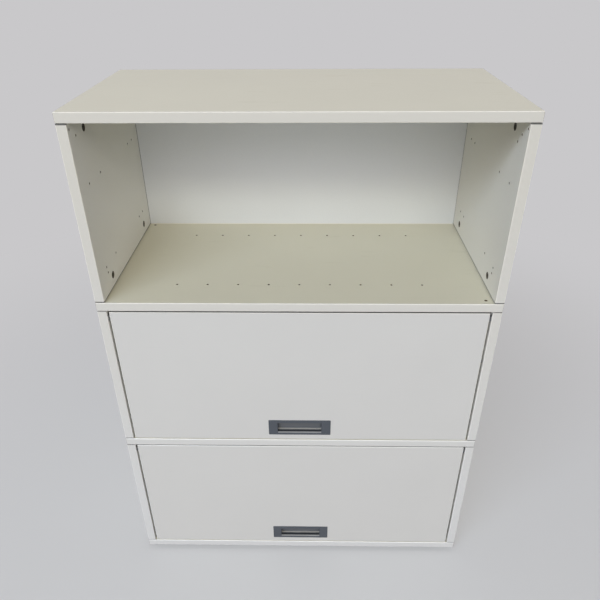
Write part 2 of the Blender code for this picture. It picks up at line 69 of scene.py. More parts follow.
def linear(code):
    """Linear colour of an sRGB hex value: below 0.04045 a twelfth part, above it a power of 2.4."""
    share = np.array([int(code[i:i + 2], 16) for i in (1, 3, 5)]) / 255
    curve = np.where(share <= 0.04045, share / 12.92, ((share + 0.055) / 1.055) ** 2.4)
    return tuple(float(value) for value in curve)


def hue(name, description, code):
    """A colour that the user can change, given as an sRGB hex value."""
    return FloatVectorProperty(
        name=name, description=description, subtype="COLOR", size=3, min=0, max=1, default=linear(code)
    )


def length(name, description, default):
    """A length that the user can change, in metres."""
    return FloatProperty(
        name=name, description=description, default=default, min=0, precision=5,
        unit="LENGTH", subtype="DISTANCE",
    )


def strengths(name, description, default):
    """Three strengths that the user can change: ahead of the cabinet, aside and behind."""
    return FloatVectorProperty(name=name, description=description, size=3, min=0, default=default)


class CabinetColours(bpy.types.PropertyGroup):
    """Colours of the cabinet's materials."""

    melamine: hue("Melamine", "Pearl-white face of the boards", "#E3DDC8")
    panel: hue("Panel", "Pearl-white face of the side panels", "#E9E7DE")
    # Painted shade: the shelves are a darker copy of the board melamine, for the shade inside the
    # compartments
    shelf: hue("Shelf", "Face of the shelves, duller from use", "#DBD6C1")
    flap: hue("Flap", "Cooler white face of the flaps", "#DAD7D1")
    back: hue("Back", "White face of the thin backs", "#E0E1E0")
    edging: hue("Edging", "ABS strip on the boards' edges", "#DFDDD9")
    # Painted light: this warmer tint of the edging up high stands in for warm light from above
    warm_lit_edging: hue("Aged edging", "The ABS strip where light has yellowed it, up high", "#DAD5C9")
    # The chipboard's own brown, dark enough to paint the shade deep in the drillings as well
    chipboard: hue("Chipboard", "Raw core inside the drillings", "#6A563C")
    grip: hue("Grip", "Blue-grey moulded ABS", "#4E5258")
    # Painted highlight on the grip's up-facing ledge and lip, and a little on the recess back
    worn_grip: hue("Worn grip", "Where fingers have rubbed the ABS", "#A39F98")
    aluminium: hue("Aluminium", "Clear-anodised rails", "#B7B8B8")
    acetal: hue("Acetal", "Grey carriages and studs", "#6C6E70")
    steel: hue("Steel", "Zinc-plated pins, sockets, bars and screws", "#AEB0AE")
    zinc: hue("Zinc", "Die-cast cam connectors", "#5B574F")
    polyamide: hue("Polyamide", "Black levelling glides", "#1A1A1B")


class CabinetSizes(bpy.types.PropertyGroup):
    """Sizes of the fine forms that the looks add."""

    edging: length("Edging", "Thickness of the edging strip", 0.002)
    glue_line: length("Glue line", "Width of the seam between face and edging", 0.0003)
    edge_rounding: length("Edge rounding", "Radius of the boards' edges", 0.0015)
    # The joint line is the width of the painted shade strip in an open joint
    joint_line: length("Joint line", "Dark line where a panel meets a board", 0.0016)
    back_seat: length("Back seat", "How far a back reaches into its rebate", 0.0097)
    recess_width: length("Recess width", "Mouth of the grip's recess, across", 0.100)
    recess_height: length("Recess height", "Mouth of the grip's recess, upright", 0.0265)
    recess_drop: length("Recess drop", "How far the recess sits below the grip's middle", 0.00025)
    recess_depth: length("Recess depth", "From the flap's face to the back of the recess", 0.0125)
    grip_wall: length("Grip wall", "Wall of the grip's tub", 0.0016)
    hook_drop: length("Hook drop", "How far the finger groove drops behind the lip", 0.0015)
    hook_lip: length("Hook lip", "Thickness of the lip behind the flap's face", 0.0018)
    lip_slope: length("Lip slope", "How far the lip's front slopes down from its crest", 0.0025)
    ledge: length("Ledge", "Depth of the ledge at the back of the recess", 0.004)
    ledge_rise: length("Ledge rise", "How far the ledge stands above the lip's crest", 0.0015)
    grip_corner: length("Grip corner", "Corner radius of the grip's flange", 0.0015)
    recess_corner: length("Recess corner", "Corner radius of the grip's recess", 0.0014)
    lip_rounding: length("Lip rounding", "Rounding of the recess mouth", 0.0009)
    cam_slot: length("Cam slot", "Width of the crossed slot in a cam", 0.0019)
    cam_slot_span: length("Cam slot span", "Length of the crossed slot in a cam", 0.0086)
    cam_slot_depth: length("Cam slot depth", "Depth of the crossed slot in a cam", 0.0024)
    screw_head: length("Screw head", "Diameter of the rail screws' heads", 0.0064)
    glide_spanner: length("Glide spanner", "Width across the flats of a glide's collar", 0.013)
    glide_ribs: IntProperty(name="Glide ribs", description="Ribs round a glide's rim", default=30, min=6)


class CabinetStage(bpy.types.PropertyGroup):
    """Floor, light and camera."""

    floor: hue("Floor", "Pale studio floor", "#DADAD8")
    backdrop: hue("Backdrop", "What the camera sees beyond the floor", "#C9C8CA")
    lens: FloatProperty(name="Lens", description="Focal length on a 36 mm sensor", default=34.34, min=10)
    camera_place: FloatVectorProperty(
        name="Camera place",
        description="Where the camera stands",
        subtype="TRANSLATION",
        unit="LENGTH",
        default=(0.021217, -1.158372, 1.368035),
    )
    camera_turn: FloatVectorProperty(
        name="Camera turn",
        description="How the camera is turned",
        subtype="EULER",
        default=(math.radians(58.5460), math.radians(0.3305), math.radians(0.8913)),
    )
    left_power: FloatProperty(name="Left light", description="Power at the left", default=338, min=0)
    left_tint: hue("Left tint", "Colour of the light at the left", "#DAEAFF")
    front_power: FloatProperty(name="Front light", description="Power straight ahead", default=179, min=0)
    front_tint: hue("Front tint", "Colour of the light straight ahead", "#FDFFEF")
    ring_powers: strengths("Ring", "Even light ahead, aside and behind", (2.73, 2.41, 1.77))
    band_powers: strengths("Low band", "Low even light ahead, aside and behind", (1.17, 0.0, 2.6))
    band_tint: hue("Band tint", "Colour of the low band of even light", "#EEF3FD")
    low_sky: hue("Low sky", "Even light from 24 degrees up", "#F5F1F9")
    high_sky: hue("High sky", "Even light from 33 degrees up", "#9F9992")


def add(tree, kind, inputs=None, **settings):
    """Adds one shader node with its settings.

    An input is a value, a socket, or a node whose first enabled output is linked.
    """
    node = tree.nodes.new(kind)
    for key, value in settings.items():
        setattr(node, key, value)
    for key, value in (inputs or {}).items():
        named = [socket for socket in node.inputs if socket.enabled and socket.name == key]
        socket = named[0] if named else node.inputs[key]
        if isinstance(value, bpy.types.Node):
            value = next(output for output in value.outputs if output.enabled)
        if isinstance(value, bpy.types.NodeSocket):
            tree.links.new(value, socket)
        else:
            socket.default_value = value
    return node


def start_material(name):
    """An empty node material, with its tree and the Object coordinates."""
    material = bpy.data.materials.new(name)
    material.use_nodes = True
    tree = material.node_tree
    tree.nodes.clear()
    place = add(tree, "ShaderNodeTexCoord").outputs["Object"]
    return material, tree, place


def finish_material(tree, inputs):
    """Adds the shader with its inputs and links it to the material's output."""
    shader = add(tree, "ShaderNodeBsdfPrincipled", inputs)
    add(tree, "ShaderNodeOutputMaterial", {"Surface": shader})


def tone(colour, share):
    """The colour with its brightness multiplied, as the four values of a colour socket."""
    return (*(min(1.0, value * share) for value in colour), 1.0)


def melamine(node, face, colours, sizes, joint_shades=()):
    """Melamine-faced chipboard, hot-pressed with a fine pearl plate and edged with ABS.

    The eye sees a warm satin white with a very fine grain, a hair-thin glue line 2 mm in from each edge,
    edges that hands have polished, and brown chips wherever a drill has gone through the face. The rounded
    edges are painted lighter as a highlight, the edging is painted warmer up high as warm light from above,
    and the chips are dark enough to paint the shade deep in the drillings. Each joint shade is an axis, a
    width, a fade and some limits: the outer strip of that width along the axis is painted dark as the shade
    in an open joint. A limit is an axis, a sign and a place, and keeps the strip to what lies beyond that
    place.
    """
    low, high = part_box(node)
    half = (high - low) / 2
    thin = min(range(3), key=lambda axis: half[axis])
    wide = [axis for axis in range(3) if axis != thin]
    material, tree, place = start_material(f"pearl_melamine_{node}")
    local = add(tree, "ShaderNodeMapping", {"Vector": place, "Location": -(low + high) / 2})

    # How far a point lies inside the board's box, along each axis
    reach = add(tree, "ShaderNodeVectorMath", {0: local}, operation="ABSOLUTE")
    inset = add(tree, "ShaderNodeVectorMath", {0: half, 1: reach}, operation="SUBTRACT")
    inward = add(tree, "ShaderNodeSeparateXYZ", {0: inset}).outputs
    from_edge = add(tree, "ShaderNodeMath", {0: inward[wide[0]], 1: inward[wide[1]]}, operation="MINIMUM")
    nearest = add(tree, "ShaderNodeMath", {0: from_edge, 1: inward[thin]}, operation="MINIMUM")
    skin = 0.0002
    below_skin = add(tree, "ShaderNodeMapRange", {"Value": nearest, "From Min": skin, "From Max": 2 * skin})
    line = sizes.glue_line
    edged = add(
        tree, "ShaderNodeMapRange",
        {"Value": from_edge, "From Min": sizes.edging, "From Max": sizes.edging - line},
    )
    off_seam = add(tree, "ShaderNodeMath", {0: from_edge, 1: sizes.edging + line / 2}, operation="SUBTRACT")
    from_seam = add(tree, "ShaderNodeMath", {0: off_seam}, operation="ABSOLUTE")
    seam = add(
        tree, "ShaderNodeMapRange",
        {"Value": from_seam, "From Min": line, "From Max": line / 2, "To Max": 0.35},
    )

    # Clouds 180 mm wide, pearl grain of 1.2 mm (0.4 mm in truth, too fine to show) and orange peel of 6 mm
    cloud = add(tree, "ShaderNodeTexNoise", {"Vector": local, "Scale": 1 / 0.18, "Detail": 3.0})
    grain = add(tree, "ShaderNodeTexNoise", {"Vector": local, "Scale": 1 / 0.0012, "Detail": 2.0})
    peel = add(tree, "ShaderNodeTexNoise", {"Vector": local, "Scale": 1 / 0.006, "Detail": 1.0})
    speck = add(
        tree, "ShaderNodeMapRange", {"Value": grain, "From Min": 0.45, "From Max": 0.7, "To Max": 0.6}
    )

    # Handling marks: streaks 90 mm long and 2 mm wide that dull the gloss and grey the face a little
    drawn_out = add(
        tree, "ShaderNodeMapping",
        {"Vector": local, "Scale": (1 / 0.09, 1 / 0.02, 1 / 0.002), "Rotation": (0.2, 0.5, 0.3)},
    )
    streak = add(tree, "ShaderNodeTexNoise", {"Vector": drawn_out, "Scale": 1.0, "Detail": 2.0})
    scuff = add(
        tree, "ShaderNodeMapRange", {"Value": streak, "From Min": 0.66, "From Max": 0.78, "To Max": 0.5}
    )

    # Polished edges: on the rounding both ways in are short, and the rounding also gets a painted highlight
    # below. Rubbed spots there are 5 mm long
    farther = add(tree, "ShaderNodeMath", {0: from_edge, 1: inward[thin]}, operation="MAXIMUM")
    rounding = sizes.edge_rounding
    eased_edge = add(
        tree, "ShaderNodeMapRange",
        {"Value": farther, "From Min": rounding * 1.05, "From Max": rounding * 0.7},
    )
    flat = add(tree, "ShaderNodeMath", {0: 1.0, 1: eased_edge}, operation="SUBTRACT")
    core = add(tree, "ShaderNodeMath", {0: below_skin, 1: flat}, operation="MULTIPLY")
    rub = add(tree, "ShaderNodeTexNoise", {"Vector": local, "Scale": 1 / 0.005, "Detail": 3.0})
    patch = add(
        tree, "ShaderNodeMapRange", {"Value": rub, "From Min": 0.6, "From Max": 0.8, "To Max": 0.35}
    )
    rubbed = add(tree, "ShaderNodeMath", {0: patch, 1: eased_edge}, operation="MULTIPLY")

    # Painted shade of open joint gaps: dark strips along the given edges
    spot = add(tree, "ShaderNodeSeparateXYZ", {0: local}).outputs
    painted_joint_shade = []
    for axis, width, fade, limits in joint_shades:
        strip = add(
            tree, "ShaderNodeMapRange",
            {"Value": inward[axis], "From Min": width + fade, "From Max": width - fade, "To Max": 0.85},
        )
        for along, sign, beyond in limits:
            outward = add(tree, "ShaderNodeMath", {0: spot[along], 1: sign}, operation="MULTIPLY")
            inside = add(tree, "ShaderNodeMath", {0: outward, 1: beyond}, operation="GREATER_THAN")
            strip = add(tree, "ShaderNodeMath", {0: strip, 1: inside}, operation="MULTIPLY")
        painted_joint_shade.append(strip)

    # Edging painted warmer between 0.2 m and 1 m above the floor, as the tint of warm light from above
    height = add(tree, "ShaderNodeSeparateXYZ", {0: place}).outputs["Z"]
    warm_light_rise = add(tree, "ShaderNodeMapRange", {"Value": height, "From Min": 0.2, "From Max": 1.0})
    fresh, warm_lit = (tone(colour, 1.0) for colour in (colours.edging, colours.warm_lit_edging))
    abs_strip = add(tree, "ShaderNodeMix", {"Factor": warm_light_rise, "A": fresh, "B": warm_lit}, data_type="RGBA")
    # Painted highlight: the rounded edges are painted 1.22 times lighter than the edging
    painted_highlight = (1.22, 1.22, 1.22, 1.0)
    abs_edge_highlight = add(
        tree, "ShaderNodeMix", {"Factor": 1.0, "A": abs_strip, "B": painted_highlight}, data_type="RGBA",
        blend_type="MULTIPLY", clamp_result=True,
    )

    # Raw chips of 1.8 mm inside the drillings, in a brown dark enough to paint the shade deep in the holes
    # too
    chips = add(tree, "ShaderNodeTexVoronoi", {"Vector": local, "Scale": 1 / 0.0018})
    chip_tone = add(tree, "ShaderNodeSeparateColor", {0: chips.outputs["Color"]})
    raw = add(
        tree, "ShaderNodeMix",
        {"Factor": chip_tone, "A": tone(colours.chipboard, 0.4), "B": tone(colours.chipboard, 1.1)},
        data_type="RGBA",
    )

    colour = add(
        tree, "ShaderNodeMix", {"Factor": cloud, "A": tone(face, 1.03), "B": tone(face, 0.97)},
        data_type="RGBA",
    )
    layers = (
        (speck, tone(face, 0.95)),
        (scuff, tone(face, 0.94)),
        (edged, abs_strip),
        (eased_edge, abs_edge_highlight),
        (rubbed, tone(colours.edging, 0.8)),
        (seam, tone(face, 0.5)),
        (core, raw),
        *((joint, tone(face, 0.07)) for joint in painted_joint_shade),
    )
    for share, over in layers:
        colour = add(tree, "ShaderNodeMix", {"Factor": share, "A": colour, "B": over}, data_type="RGBA")

    gloss = add(tree, "ShaderNodeMapRange", {"Value": peel, "To Min": 0.36, "To Max": 0.46})
    dulled = add(tree, "ShaderNodeMath", {0: scuff, 1: 0.3, 2: gloss}, operation="MULTIPLY_ADD")
    polished = add(tree, "ShaderNodeMix", {"Factor": eased_edge, "A": dulled, "B": 0.24})
    rough = add(tree, "ShaderNodeMix", {"Factor": core, "A": polished, "B": 0.9})
    relief = add(tree, "ShaderNodeMath", {0: peel, 1: 0.6, 2: grain}, operation="MULTIPLY_ADD")
    sunk = add(tree, "ShaderNodeMath", {0: seam, 1: -3.0, 2: relief}, operation="MULTIPLY_ADD")
    bump = add(tree, "ShaderNodeBump", {"Height": sunk, "Strength": 0.25, "Distance": 0.0001})
    finish_material(tree, {"Base Color": colour, "Roughness": rough, "Normal": bump, "IOR": 1.5})
    return material


def grip_abs(colours):
    """ABS, injection-moulded in a spark-eroded tool.

    The eye sees a blue-grey satin with an even fine grain. The up-facing lip and ledge are painted pale as a
    highlight and are shinier, and the groove between them and the top of the mouth are painted dark as
    shade.
    The mesh gives both places as attributes.
    """
    material, tree, place = start_material("moulded_abs_grip")
    # Spark-eroded grain of 0.6 mm (0.15 mm in truth, too fine to show) and flow clouds of 30 mm
    grain = add(tree, "ShaderNodeTexNoise", {"Vector": place, "Scale": 1 / 0.0006, "Detail": 2.0})
    flow = add(tree, "ShaderNodeTexNoise", {"Vector": place, "Scale": 1 / 0.03, "Detail": 2.0})
    base = add(
        tree, "ShaderNodeMix",
        {"Factor": flow, "A": tone(colours.grip, 1.08), "B": tone(colours.grip, 0.92)}, data_type="RGBA",
    )
    speck = add(
        tree, "ShaderNodeMapRange", {"Value": grain, "From Min": 0.5, "From Max": 0.75, "To Max": 0.5}
    )
    colour = add(
        tree, "ShaderNodeMix", {"Factor": speck, "A": base, "B": tone(colours.grip, 1.3)}, data_type="RGBA"
    )
    # Painted shade where the recess attribute is set, painted highlight on the ledge and lip
    for place_name, over in (("recess", tone(colours.grip, 0.4)), ("worn", tone(colours.worn_grip, 1.0))):
        share = add(tree, "ShaderNodeAttribute", attribute_name=place_name).outputs["Fac"]
        colour = add(tree, "ShaderNodeMix", {"Factor": share, "A": colour, "B": over}, data_type="RGBA")
    satin = add(tree, "ShaderNodeMapRange", {"Value": flow, "To Min": 0.4, "To Max": 0.55})
    rough = add(tree, "ShaderNodeMix", {"Factor": share, "A": satin, "B": 0.25})
    bump = add(tree, "ShaderNodeBump", {"Height": grain, "Strength": 0.35, "Distance": 0.0001})
    finish_material(tree, {"Base Color": colour, "Roughness": rough, "Normal": bump, "IOR": 1.53})
    return material


def anodised_aluminium(colours):
    """Aluminium, extruded and clear-anodised.

    The eye sees a soft grey metal with fine die lines that run the length of the rail.
    """
    material, tree, place = start_material("anodised_aluminium_extruded")
    # Die lines 0.5 mm apart and 120 mm long
    along = add(tree, "ShaderNodeMapping", {"Vector": place, "Scale": (1 / 0.0005, 1 / 0.12, 1 / 0.0005)})
    lines = add(tree, "ShaderNodeTexNoise", {"Vector": along, "Scale": 1.0, "Detail": 3.0})
    colour = add(
        tree, "ShaderNodeMix",
        {"Factor": lines, "A": tone(colours.aluminium, 0.85), "B": tone(colours.aluminium, 1.1)},
        data_type="RGBA",
    )
    rough = add(tree, "ShaderNodeMapRange", {"Value": lines, "To Min": 0.32, "To Max": 0.48})
    bump = add(tree, "ShaderNodeBump", {"Height": lines, "Strength": 0.2, "Distance": 0.00005})
    finish_material(tree, {"Base Color": colour, "Metallic": 1.0, "Roughness": rough, "Normal": bump})
    return material


def moulded_plastic(name, base, rub_share, grain_size, ior):
    """An engineering plastic, injection-moulded.

    The eye sees a dark satin with a fine grain, and paler rub marks where it runs on metal or on the floor.
    """
    material, tree, place = start_material(name)
    # Grain as given, rub marks of 8 mm
    grain = add(tree, "ShaderNodeTexNoise", {"Vector": place, "Scale": 1 / grain_size, "Detail": 2.0})
    rub = add(tree, "ShaderNodeTexNoise", {"Vector": place, "Scale": 1 / 0.008, "Detail": 4.0})
    mark = add(
        tree, "ShaderNodeMapRange", {"Value": rub, "From Min": 0.52, "From Max": 0.75, "To Max": 0.5}
    )
    colour = add(
        tree, "ShaderNodeMix", {"Factor": mark, "A": tone(base, 1.0), "B": tone(base, rub_share)},
        data_type="RGBA",
    )
    rough = add(tree, "ShaderNodeMapRange", {"Value": rub, "To Min": 0.32, "To Max": 0.58})
    bump = add(tree, "ShaderNodeBump", {"Height": grain, "Strength": 0.3, "Distance": 0.0001})
    finish_material(tree, {"Base Color": colour, "Roughness": rough, "Normal": bump, "IOR": ior})
    return material


def plated_steel(colours):
    """Steel, zinc-plated and passivated.

    The eye sees a cool grey metal with faint blue and straw patches and a fine rolled grain.
    """
    material, tree, place = start_material("zinc_plated_steel")
    # Passivation patches of 12 mm, grain of 0.5 mm
    patch = add(tree, "ShaderNodeTexNoise", {"Vector": place, "Scale": 1 / 0.012, "Detail": 2.0})
    grain = add(tree, "ShaderNodeTexNoise", {"Vector": place, "Scale": 1 / 0.0005, "Detail": 2.0})
    red, green, blue = colours.steel
    straw = (red * 1.06, green * 1.02, blue * 0.88, 1.0)
    cool = (red * 0.88, green * 0.95, blue * 1.06, 1.0)
    colour = add(tree, "ShaderNodeMix", {"Factor": patch, "A": cool, "B": straw}, data_type="RGBA")
    # Painted shade in the driver's recess, from the piece's own attribute
    slot_shade = add(tree, "ShaderNodeAttribute", attribute_name="recess").outputs["Fac"]
    slot_shaded = add(
        tree, "ShaderNodeMix", {"Factor": slot_shade, "A": colour, "B": tone(colours.steel, 0.08)},
        data_type="RGBA",
    )
    rough = add(tree, "ShaderNodeMapRange", {"Value": grain, "To Min": 0.28, "To Max": 0.42})
    bump = add(tree, "ShaderNodeBump", {"Height": grain, "Strength": 0.15, "Distance": 0.00005})
    finish_material(tree, {"Base Color": slot_shaded, "Metallic": 1.0, "Roughness": rough, "Normal": bump})
    return material


def cast_zinc(colours):
    """Zinc alloy, pressure die-cast and tumbled.

    The eye sees a dull dark metal with a pitted skin, bright on the rim, and the slot is painted black as
    shade.
    """
    material, tree, place = start_material("die_cast_zinc")
    # Casting pits of 0.7 mm and tumbling clouds of 4 mm
    pits = add(tree, "ShaderNodeTexNoise", {"Vector": place, "Scale": 1 / 0.0007, "Detail": 3.0})
    cloud = add(tree, "ShaderNodeTexNoise", {"Vector": place, "Scale": 1 / 0.004, "Detail": 2.0})
    base = add(
        tree, "ShaderNodeMix",
        {"Factor": cloud, "A": tone(colours.zinc, 0.8), "B": tone(colours.zinc, 1.25)}, data_type="RGBA",
    )
    # Painted shade in the slot and the pointer, from the piece's own attribute
    slot_shade = add(tree, "ShaderNodeAttribute", attribute_name="recess").outputs["Fac"]
    colour = add(
        tree, "ShaderNodeMix", {"Factor": slot_shade, "A": base, "B": tone(colours.zinc, 0.1)}, data_type="RGBA"
    )
    rough = add(tree, "ShaderNodeMapRange", {"Value": pits, "To Min": 0.4, "To Max": 0.6})
    bump = add(tree, "ShaderNodeBump", {"Height": pits, "Strength": 0.4, "Distance": 0.0001})
    finish_material(tree, {"Base Color": colour, "Metallic": 0.85, "Roughness": rough, "Normal": bump})
    return material


def in_view(tree):
    """1 for a ray that the camera follows, straight or by gloss or glass, and 0 for one that only lights."""
    path = add(tree, "ShaderNodeLightPath").outputs
    seen = add(
        tree, "ShaderNodeMath", {0: path["Is Camera Ray"], 1: path["Is Glossy Ray"]}, operation="MAXIMUM"
    )
    return add(tree, "ShaderNodeMath", {0: seen, 1: path["Is Transmission Ray"]}, operation="MAXIMUM")


def studio_floor(stage):
    """Painted studio floor: matt and pale, with clouds of 400 mm that are barely there.

    Seen by the camera it holds some of the backdrop's colour, and beyond 2.2 m all of it, so that no
    horizon shows.
    """
    material, tree, place = start_material("painted_studio_floor")
    cloud = add(tree, "ShaderNodeTexNoise", {"Vector": place, "Scale": 1 / 0.4, "Detail": 2.0})
    colour = add(
        tree, "ShaderNodeMix",
        {"Factor": cloud, "A": tone(stage.floor, 1.01), "B": tone(stage.floor, 0.99)}, data_type="RGBA",
    )
    paint = add(tree, "ShaderNodeBsdfPrincipled", {"Base Color": colour, "Roughness": 0.85})
    away = add(tree, "ShaderNodeVectorMath", {0: place}, operation="LENGTH").outputs["Value"]
    far = add(
        tree, "ShaderNodeMapRange", {"Value": away, "From Min": 0.5, "From Max": 2.2, "To Min": 0.35},
        interpolation_type="SMOOTHSTEP",
    )
    share = add(tree, "ShaderNodeMath", {0: far, 1: in_view(tree)}, operation="MULTIPLY")
    beyond = add(tree, "ShaderNodeEmission", {"Color": tone(stage.backdrop, 1.0), "Strength": 1.0})
    mixed = add(tree, "ShaderNodeMixShader", {0: share, 1: paint, 2: beyond})
    add(tree, "ShaderNodeOutputMaterial", {"Surface": mixed})
    return material


def even_light(tree, toward, stops, powers):
    """Even light from the room: its colour follows the ray's height, its strength the way the ray points.

    Between the two heights of a stop the colour runs to the stop's own. The powers are ahead, aside and
    behind.
    """
    sky = tone(DARK, 1.0)
    for start, end, colour in stops:
        rise = add(tree, "ShaderNodeMapRange", {"Value": toward["Z"], "From Min": start, "From Max": end})
        sky = add(
            tree, "ShaderNodeMix", {"Factor": rise, "A": sky, "B": tone(colour, 1.0)}, data_type="RGBA"
        )
    level = add(tree, "ShaderNodeCombineXYZ", {"X": toward["X"], "Y": toward["Y"]})
    turned = add(tree, "ShaderNodeVectorMath", {0: level}, operation="NORMALIZE")
    away = add(tree, "ShaderNodeSeparateXYZ", {0: turned}).outputs["Y"]
    ahead, power, behind = powers
    for start, end, strength in ((-0.6, -0.85, ahead), (-0.15, 0.15, behind)):
        sides = {"Value": away, "From Min": start, "From Max": end, "To Min": power, "To Max": strength}
        power = add(tree, "ShaderNodeMapRange", sides)
    return add(tree, "ShaderNodeBackground", {"Color": sky, "Strength": power})


def dress(nodes, material):
    """Sets one material on CAD nodes, in every slot."""
    for name in nodes:
        slots = NODES[name].material_slots
        if len(slots) == 0:
            raise RuntimeError(f"{name} has no material slot")
        for slot in slots:
            slot.material = material


def eased(points, cuts, steps=5):
    """An open path whose inner corners are rounded, in any number of coordinates.

    Corner B keeps clear of its neighbours by its cut: S and E lie that far from B towards them, and the
    corner becomes the arc (1-t)^2 S + 2 t (1-t) B + t^2 E for t from 0 to 1.
    """
    path = np.asarray(points, float)
    corner = path[1:-1]
    back = path[:-2] - corner
    ahead = path[2:] - corner
    cut = np.asarray(cuts, float)[:, None]
    start = corner + back * np.minimum(cut / np.linalg.norm(back, axis=1, keepdims=True), 0.45)
    end = corner + ahead * np.minimum(cut / np.linalg.norm(ahead, axis=1, keepdims=True), 0.45)
    t = np.linspace(0, 1, steps)[None, :, None]
    arcs = (1 - t) ** 2 * start[:, None] + 2 * t * (1 - t) * corner[:, None] + t ** 2 * end[:, None]
    return np.vstack((path[:1], arcs.reshape(-1, path.shape[1]), path[-1:]))


def rounded_loops(half_width, high, low, radius, steps=7):
    """Upright rounded rectangles, one for each entry of the arrays, as x and z on a grid of loop and angle.

    Point = corner centre + radius (cos a, sin a), with a going once round through the four corners.
    """
    turn = np.linspace(0, np.pi / 2, steps) + np.arange(4)[:, None] * np.pi / 2
    right = np.array([1, -1, -1, 1])[:, None]
    upper = np.array([True, True, False, False])[:, None]
    reach = (half_width - radius)[:, None, None]
    middle = np.where(upper, (high - radius)[:, None, None], (low + radius)[:, None, None])
    x = right * reach + radius[:, None, None] * np.cos(turn)
    z = middle + radius[:, None, None] * np.sin(turn)
    count = len(half_width)
    return x.reshape(count, -1), z.reshape(count, -1)


def loft(name, rings, material, body, slot, stands_for, **places):
    """A closed skin over a grid of rings, with a fan to the middle of the first and of the last ring.

    The rings are wrapped round, and the whole skin is turned over if its volume comes out negative. Each of
    the places is an array over the same grid, kept as an attribute of the points.
    """
    count, around = rings.shape[:2]
    points = np.vstack((rings.reshape(-1, 3), rings[0].mean(0), rings[-1].mean(0)))
    index = np.arange(count * around).reshape(count, around)
    after = np.roll(index, -1, axis=1)
    quads = np.stack((index[:-1], after[:-1], after[1:], index[1:]), -1).reshape(-1, 4)
    first = np.stack((np.full(around, count * around), after[0], index[0]), -1)
    last = np.stack((np.full(around, count * around + 1), index[-1], after[-1]), -1)
    triangles = np.vstack((quads[:, [0, 1, 2]], quads[:, [0, 2, 3]], first, last))
    a, b, c = (points[triangles[:, i]] - points[-1] for i in range(3))
    if np.einsum("ij,ij->i", a, np.cross(b, c)).sum() < 0:
        quads, first, last = quads[:, ::-1], first[:, ::-1], last[:, ::-1]
    mesh = bpy.data.meshes.new(name)
    mesh.from_pydata(points.tolist(), [], quads.tolist() + first.tolist() + last.tolist())
    for place, grid in places.items():
        values = np.concatenate((grid.ravel(), [grid[0].mean(), grid[-1].mean()]))
        mesh.attributes.new(place, "FLOAT", "POINT").data.foreach_set("value", values.astype(np.float32))
    mesh.polygons.foreach_set("use_smooth", np.ones(len(mesh.polygons), bool))
    mesh.set_sharp_from_angle(angle=SHARP_ANGLE)
    mesh.materials.append(material)
    mesh.update()
    if mesh.validate():
        raise RuntimeError(f"{name} has faults in its mesh")
    piece = bpy.data.objects.new(name, mesh)
    bpy.context.scene.collection.objects.link(piece)
    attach(piece, body)
    if stands_for:
        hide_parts(*stands_for)


def smoothstep(low, high, value):
    """0 below low, 1 above high, and t^2 (3 - 2t) between them."""
    t = np.clip((value - low) / (high - low), 0, 1)
    return t * t * (3 - 2 * t)


def crossed_slot(across, upright, width, span, wall):
    """1 inside a cross of two bars of that width and span, 0 outside, with walls that slope."""
    bars = []
    for first, second in ((across, upright), (upright, across)):
        within_span = 1 - smoothstep(span / 2 - wall / 2, span / 2 + wall / 2, np.abs(first))
        within_width = 1 - smoothstep(width / 2 - wall / 2, width / 2 + wall / 2, np.abs(second))
        bars.append(within_span * within_width)
    return np.maximum(*bars)


